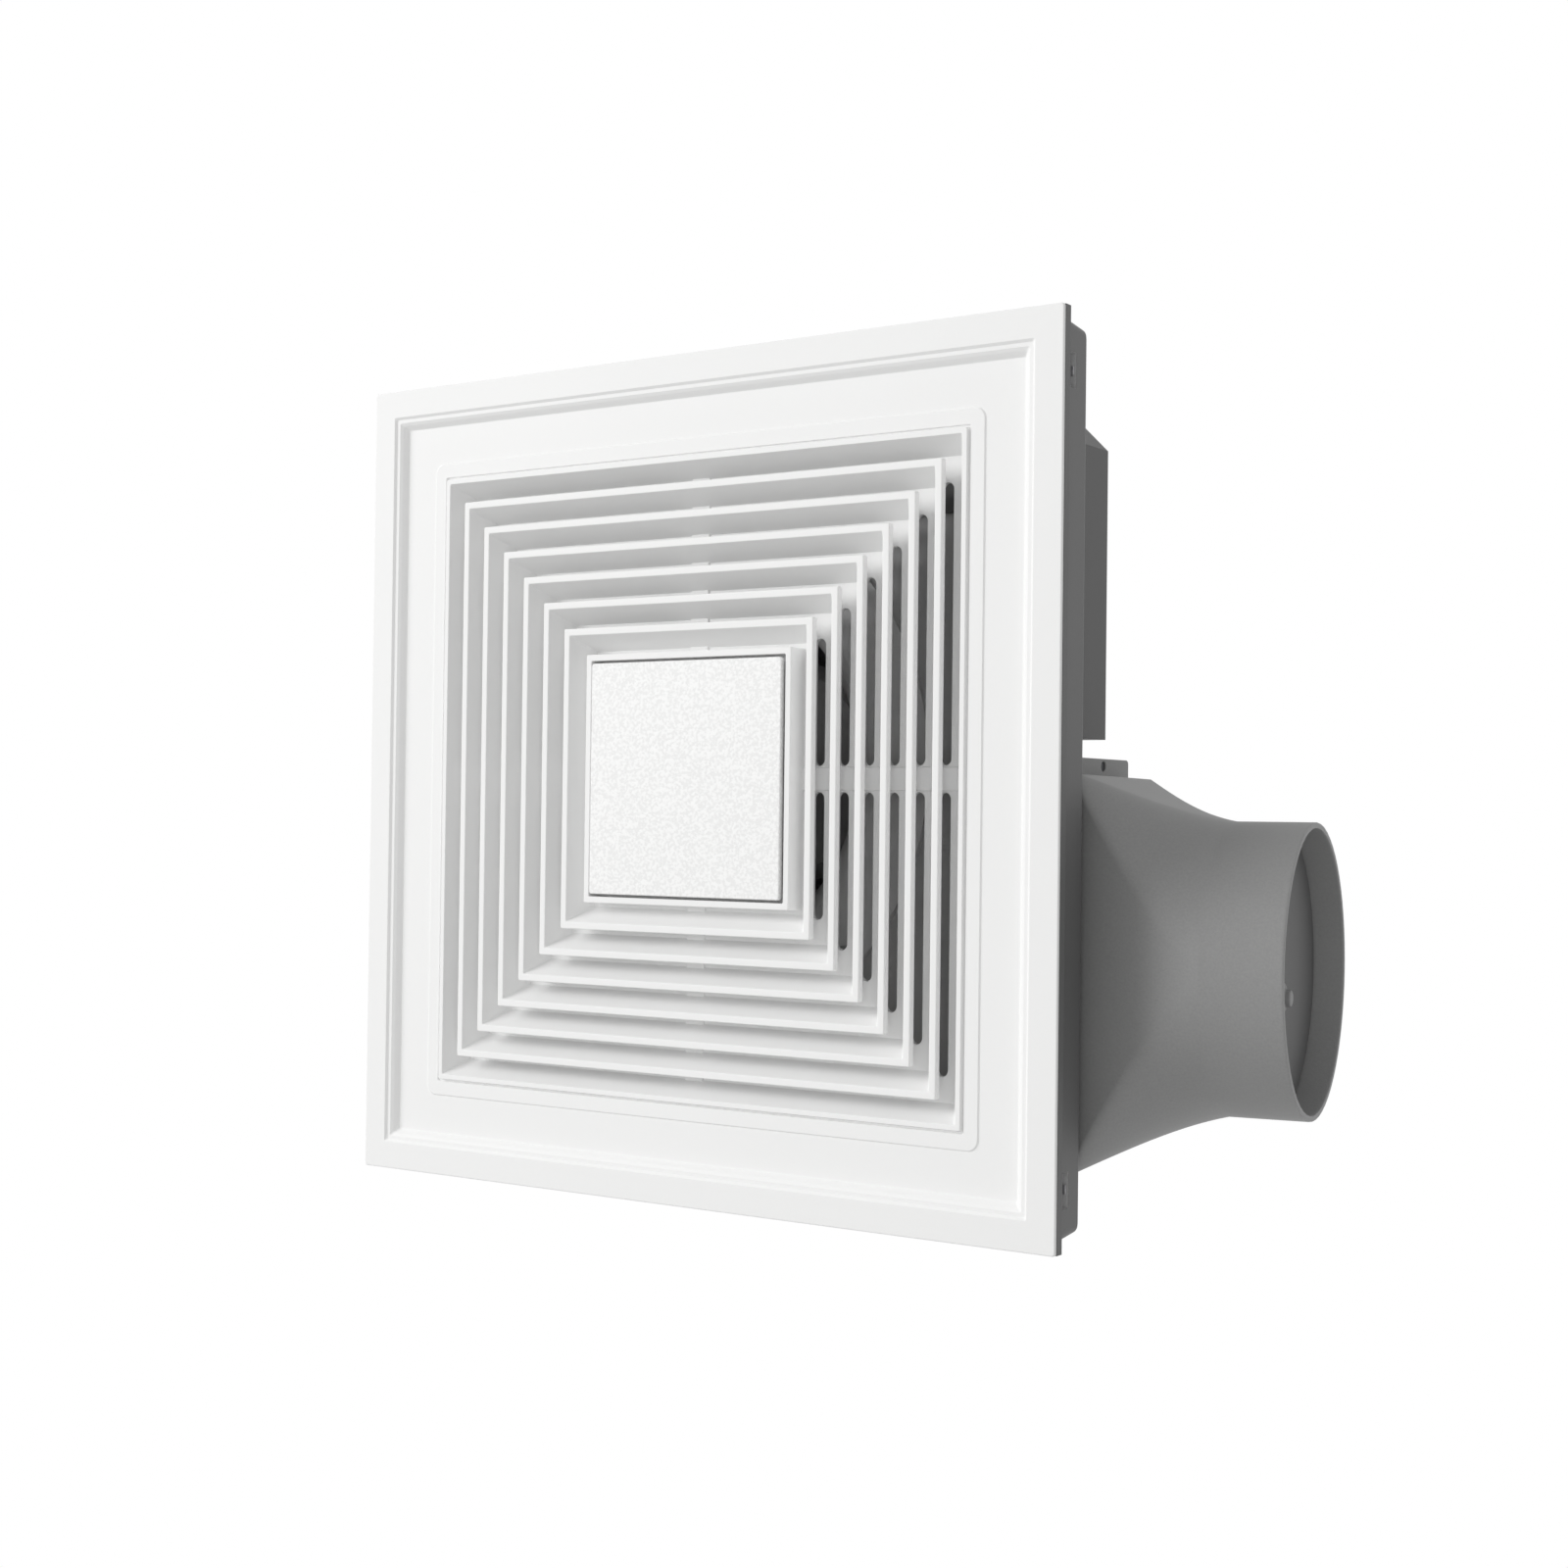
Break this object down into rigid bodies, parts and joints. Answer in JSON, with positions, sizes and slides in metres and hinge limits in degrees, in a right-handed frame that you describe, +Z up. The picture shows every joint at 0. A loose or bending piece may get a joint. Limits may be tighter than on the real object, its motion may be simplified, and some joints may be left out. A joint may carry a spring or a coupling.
{
  "type": "ceiling exhaust fan",
  "caption": "Ceiling exhaust fan with a square louvred face panel, a box-shaped blower case and a side duct spigot with a swinging backdraught flap.",
  "frame": {"origin": "centre of the four hanger holes, on the upper face of the tray's back plate", "axes": "+Z up into the ceiling, away from the room; +X along the fan towards the duct spigot; +Y completes the right-handed frame, on the outlet's side of the wheel"},
  "size_m": [0.3628, 0.3, 0.128],
  "materials": {
    "panel_white": "satin injection moulding",
    "plate_pearl": "fine pearl grain",
    "tray_grey": "fine moulded grain",
    "case_grey": "fine moulded grain",
    "adapter_grey": "fine moulded grain",
    "scroll_black": "dull",
    "nozzle_grey": "smooth",
    "wheel_grey": "smooth",
    "spring_steel": "blued spring strip",
    "screw_zinc": "zinc plated",
    "shaft_steel": "ground",
    "shell_zinc": "zinc plated, deep drawn",
    "lamination": "stacked sheet",
    "bearing_bronze": "sintered",
    "winding_enamel": "enamelled wire",
    "rubber_black": "dull",
    "foam_black": "closed cell foam",
    "capacitor_white": "smooth",
    "terminal_ivory": "smooth"
  },
  "bodies": {
    "housing": {"tray": "tray_grey", "panel_clips": "spring_steel", "blower_case": "case_grey", "case_screws": "screw_zinc", "scroll": "scroll_black", "inlet_nozzle": "nozzle_grey", "nozzle_screws": "screw_zinc", "motor_shell_lower": "shell_zinc", "motor_shell_upper": "shell_zinc", "motor_screws": "screw_zinc", "motor_bushes": "rubber_black", "shaft_bearings": "bearing_bronze", "stator_core": "lamination", "stator_winding": "winding_enamel", "capacitor": "capacitor_white", "capacitor_clip": "spring_steel", "terminal_block": "terminal_ivory", "wiring_cover": "tray_grey", "wiring_cover_screws": "screw_zinc", "cable_gland": "rubber_black", "duct_adapter": "adapter_grey", "adapter_gasket": "foam_black", "adapter_screws": "screw_zinc"},
    "impeller": {"impeller": "wheel_grey", "wheel_disc": "wheel_grey", "rotor_shaft": "shaft_steel", "rotor_core": "lamination", "wheel_washer": "screw_zinc", "wheel_nut": "screw_zinc"},
    "damper": {"damper_flap": "nozzle_grey", "damper_pin": "shaft_steel", "damper_seal": "foam_black"},
    "grille": {"face_panel": "panel_white", "centre_plate": "plate_pearl"}
  },
  "joints": [
    {"name": "impeller_spin", "type": "hinge", "parent": "housing", "child": "impeller", "pos_m": [-0.006, -0.004, 0.06], "axis": [0, 0, 1], "continuous": true},
    {"name": "damper_swing", "type": "hinge", "parent": "housing", "child": "damper", "pos_m": [0.18911, 0.0618, 0.05677], "axis": [0, -1, 0], "range_deg": [0, 75]},
    {"name": "panel_pull", "type": "slide", "parent": "housing", "child": "grille", "axis": [0, 0, -1], "range_m": [0, 0.03]}
  ]
}
